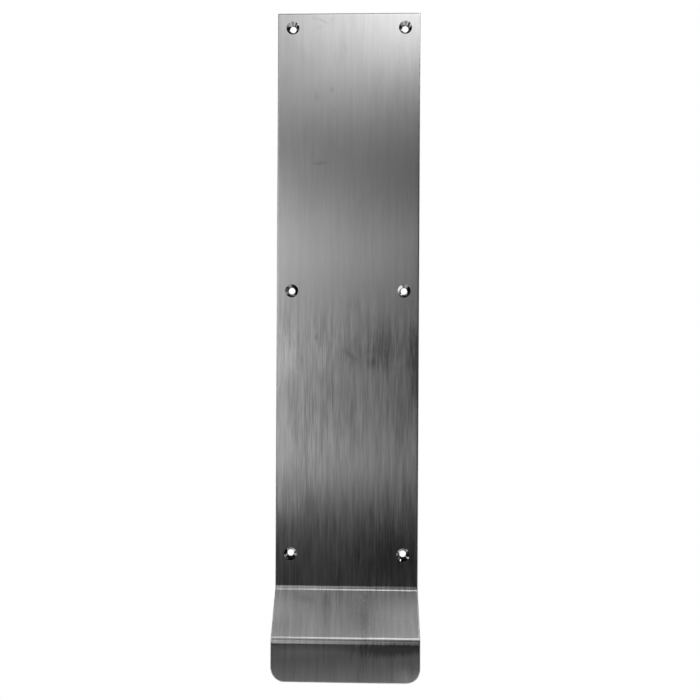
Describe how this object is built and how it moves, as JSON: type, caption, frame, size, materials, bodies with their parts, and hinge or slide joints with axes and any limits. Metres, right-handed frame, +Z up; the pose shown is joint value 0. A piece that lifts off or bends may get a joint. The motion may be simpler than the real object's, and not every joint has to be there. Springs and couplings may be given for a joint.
{
  "type": "lipped door pull plate",
  "caption": "Surface-mounted door pull plate folded from one steel sheet: a long flat plate with countersunk screw holes and a lip at its foot that fingers reach behind.",
  "frame": {"origin": "on the back face, midway between the middle pair of screw holes", "axes": "+Z up the door, +Y into the door, so the front of the plate faces -Y, and X runs across the plate"},
  "size_m": [0.1016, 0.0253, 0.4659],
  "materials": {
    "brushed_stainless": "fine vertical brush lines, with polished countersinks and eased edges"
  },
  "bodies": {
    "root": {"pull_plate": "brushed_stainless"}
  },
  "joints": []
}
